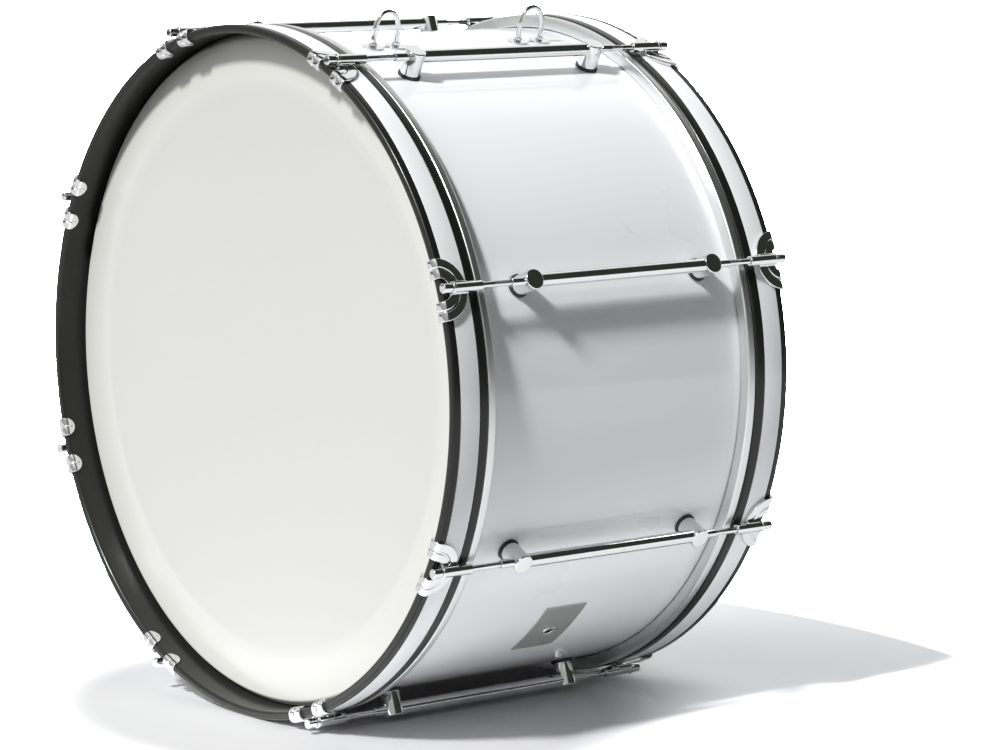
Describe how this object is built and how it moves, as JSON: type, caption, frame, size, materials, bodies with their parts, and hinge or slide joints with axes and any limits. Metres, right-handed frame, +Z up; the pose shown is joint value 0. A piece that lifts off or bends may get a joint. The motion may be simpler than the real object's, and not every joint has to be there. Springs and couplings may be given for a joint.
{
  "type": "marching bass drum",
  "caption": "Marching bass drum with a white shell, two tensioned heads in black wood hoops, tube lugs, claw hooks and strap eyes.",
  "frame": {"origin": "on the floor plane, under the drum's axis, midway between the front and rear hoops", "axes": "+Z up, +Y along the drum's axis from the front head to the rear head, +X to the right seen from the front"},
  "size_m": [0.69, 0.424, 0.7018],
  "materials": {
    "shell_lacquer": "gloss white lacquer over plywood",
    "head_film": "smooth white polyester film",
    "damping_foam": "thin white felted ring",
    "flesh_hoop_metal": "satin",
    "hoop_lacquer": "gloss black lacquer over bent wood",
    "hoop_inlay_white": "gloss white",
    "chrome_hardware": "polished chrome plate",
    "vent_plate_metal": "brushed, bare"
  },
  "bodies": {
    "shell": {"shell": "shell_lacquer", "lug_1": "chrome_hardware", "lug_2": "chrome_hardware", "lug_3": "chrome_hardware", "lug_4": "chrome_hardware", "lug_5": "chrome_hardware", "lug_6": "chrome_hardware", "lug_7": "chrome_hardware", "lug_8": "chrome_hardware", "front_strap_eye": "chrome_hardware", "front_strap_eye_front_washer": "chrome_hardware", "front_strap_eye_rear_washer": "chrome_hardware", "rear_strap_eye": "chrome_hardware", "rear_strap_eye_front_washer": "chrome_hardware", "rear_strap_eye_rear_washer": "chrome_hardware", "vent_plate": "vent_plate_metal", "vent_grommet": "chrome_hardware"},
    "front_hoop_set": {"front_head": "head_film", "front_damping_ring": "damping_foam", "front_flesh_hoop": "flesh_hoop_metal", "front_wood_hoop": "hoop_lacquer", "front_hoop_inlay": "hoop_inlay_white", "front_claw_1": "chrome_hardware", "front_claw_2": "chrome_hardware", "front_claw_3": "chrome_hardware", "front_claw_4": "chrome_hardware", "front_claw_5": "chrome_hardware", "front_claw_6": "chrome_hardware", "front_claw_7": "chrome_hardware", "front_claw_8": "chrome_hardware"},
    "front_rod_1": {"front_rod_1": "chrome_hardware"},
    "front_rod_2": {"front_rod_2": "chrome_hardware"},
    "front_rod_3": {"front_rod_3": "chrome_hardware"},
    "front_rod_4": {"front_rod_4": "chrome_hardware"},
    "front_rod_5": {"front_rod_5": "chrome_hardware"},
    "front_rod_6": {"front_rod_6": "chrome_hardware"},
    "front_rod_7": {"front_rod_7": "chrome_hardware"},
    "front_rod_8": {"front_rod_8": "chrome_hardware"},
    "rear_hoop_set": {"rear_head": "head_film", "rear_damping_ring": "damping_foam", "rear_flesh_hoop": "flesh_hoop_metal", "rear_wood_hoop": "hoop_lacquer", "rear_hoop_inlay": "hoop_inlay_white", "rear_claw_1": "chrome_hardware", "rear_claw_2": "chrome_hardware", "rear_claw_3": "chrome_hardware", "rear_claw_4": "chrome_hardware", "rear_claw_5": "chrome_hardware", "rear_claw_6": "chrome_hardware", "rear_claw_7": "chrome_hardware", "rear_claw_8": "chrome_hardware"},
    "rear_rod_1": {"rear_rod_1": "chrome_hardware"},
    "rear_rod_2": {"rear_rod_2": "chrome_hardware"},
    "rear_rod_3": {"rear_rod_3": "chrome_hardware"},
    "rear_rod_4": {"rear_rod_4": "chrome_hardware"},
    "rear_rod_5": {"rear_rod_5": "chrome_hardware"},
    "rear_rod_6": {"rear_rod_6": "chrome_hardware"},
    "rear_rod_7": {"rear_rod_7": "chrome_hardware"},
    "rear_rod_8": {"rear_rod_8": "chrome_hardware"}
  },
  "joints": [
    {"name": "front_hoop_slide", "type": "slide", "parent": "shell", "child": "front_hoop_set", "axis": [0, -1, 0], "range_m": [0, 0.012]},
    {"name": "front_rod_1_turn", "type": "hinge", "parent": "front_hoop_set", "child": "front_rod_1", "pos_m": [0.15579, -0.2, 0.65857], "axis": [0, -1, 0], "range_deg": [0, 4321]},
    {"name": "front_rod_2_turn", "type": "hinge", "parent": "front_hoop_set", "child": "front_rod_2", "pos_m": [0.33257, -0.2, 0.45628], "axis": [0, -1, 0], "range_deg": [0, 4321]},
    {"name": "front_rod_3_turn", "type": "hinge", "parent": "front_hoop_set", "child": "front_rod_3", "pos_m": [0.31453, -0.2, 0.18824], "axis": [0, -1, 0], "range_deg": [0, 4321]},
    {"name": "front_rod_4_turn", "type": "hinge", "parent": "front_hoop_set", "child": "front_rod_4", "pos_m": [0.11224, -0.2, 0.01147], "axis": [0, -1, 0], "range_deg": [0, 4321]},
    {"name": "front_rod_5_turn", "type": "hinge", "parent": "front_hoop_set", "child": "front_rod_5", "pos_m": [-0.15579, -0.2, 0.0295], "axis": [0, -1, 0], "range_deg": [0, 4321]},
    {"name": "front_rod_6_turn", "type": "hinge", "parent": "front_hoop_set", "child": "front_rod_6", "pos_m": [-0.33257, -0.2, 0.23179], "axis": [0, -1, 0], "range_deg": [0, 4321]},
    {"name": "front_rod_7_turn", "type": "hinge", "parent": "front_hoop_set", "child": "front_rod_7", "pos_m": [-0.31453, -0.2, 0.49983], "axis": [0, -1, 0], "range_deg": [0, 4321]},
    {"name": "front_rod_8_turn", "type": "hinge", "parent": "front_hoop_set", "child": "front_rod_8", "pos_m": [-0.11224, -0.2, 0.6766], "axis": [0, -1, 0], "range_deg": [0, 4321]},
    {"name": "rear_hoop_slide", "type": "slide", "parent": "shell", "child": "rear_hoop_set", "axis": [0, 1, 0], "range_m": [0, 0.012]},
    {"name": "rear_rod_1_turn", "type": "hinge", "parent": "rear_hoop_set", "child": "rear_rod_1", "pos_m": [0.15579, 0.2, 0.65857], "axis": [0, 1, 0], "range_deg": [0, 4321]},
    {"name": "rear_rod_2_turn", "type": "hinge", "parent": "rear_hoop_set", "child": "rear_rod_2", "pos_m": [0.33257, 0.2, 0.45628], "axis": [0, 1, 0], "range_deg": [0, 4321]},
    {"name": "rear_rod_3_turn", "type": "hinge", "parent": "rear_hoop_set", "child": "rear_rod_3", "pos_m": [0.31453, 0.2, 0.18824], "axis": [0, 1, 0], "range_deg": [0, 4321]},
    {"name": "rear_rod_4_turn", "type": "hinge", "parent": "rear_hoop_set", "child": "rear_rod_4", "pos_m": [0.11224, 0.2, 0.01147], "axis": [0, 1, 0], "range_deg": [0, 4321]},
    {"name": "rear_rod_5_turn", "type": "hinge", "parent": "rear_hoop_set", "child": "rear_rod_5", "pos_m": [-0.15579, 0.2, 0.0295], "axis": [0, 1, 0], "range_deg": [0, 4321]},
    {"name": "rear_rod_6_turn", "type": "hinge", "parent": "rear_hoop_set", "child": "rear_rod_6", "pos_m": [-0.33257, 0.2, 0.23179], "axis": [0, 1, 0], "range_deg": [0, 4321]},
    {"name": "rear_rod_7_turn", "type": "hinge", "parent": "rear_hoop_set", "child": "rear_rod_7", "pos_m": [-0.31453, 0.2, 0.49983], "axis": [0, 1, 0], "range_deg": [0, 4321]},
    {"name": "rear_rod_8_turn", "type": "hinge", "parent": "rear_hoop_set", "child": "rear_rod_8", "pos_m": [-0.11224, 0.2, 0.6766], "axis": [0, 1, 0], "range_deg": [0, 4321]}
  ],
  "couplings": [
    {"joint": "front_rod_1_turn", "follows": "front_hoop_slide", "rad_per_m": 6283.2},
    {"joint": "front_rod_2_turn", "follows": "front_hoop_slide", "rad_per_m": 6283.2},
    {"joint": "front_rod_3_turn", "follows": "front_hoop_slide", "rad_per_m": 6283.2},
    {"joint": "front_rod_4_turn", "follows": "front_hoop_slide", "rad_per_m": 6283.2},
    {"joint": "front_rod_5_turn", "follows": "front_hoop_slide", "rad_per_m": 6283.2},
    {"joint": "front_rod_6_turn", "follows": "front_hoop_slide", "rad_per_m": 6283.2},
    {"joint": "front_rod_7_turn", "follows": "front_hoop_slide", "rad_per_m": 6283.2},
    {"joint": "front_rod_8_turn", "follows": "front_hoop_slide", "rad_per_m": 6283.2},
    {"joint": "rear_rod_1_turn", "follows": "rear_hoop_slide", "rad_per_m": 6283.2},
    {"joint": "rear_rod_2_turn", "follows": "rear_hoop_slide", "rad_per_m": 6283.2},
    {"joint": "rear_rod_3_turn", "follows": "rear_hoop_slide", "rad_per_m": 6283.2},
    {"joint": "rear_rod_4_turn", "follows": "rear_hoop_slide", "rad_per_m": 6283.2},
    {"joint": "rear_rod_5_turn", "follows": "rear_hoop_slide", "rad_per_m": 6283.2},
    {"joint": "rear_rod_6_turn", "follows": "rear_hoop_slide", "rad_per_m": 6283.2},
    {"joint": "rear_rod_7_turn", "follows": "rear_hoop_slide", "rad_per_m": 6283.2},
    {"joint": "rear_rod_8_turn", "follows": "rear_hoop_slide", "rad_per_m": 6283.2}
  ]
}
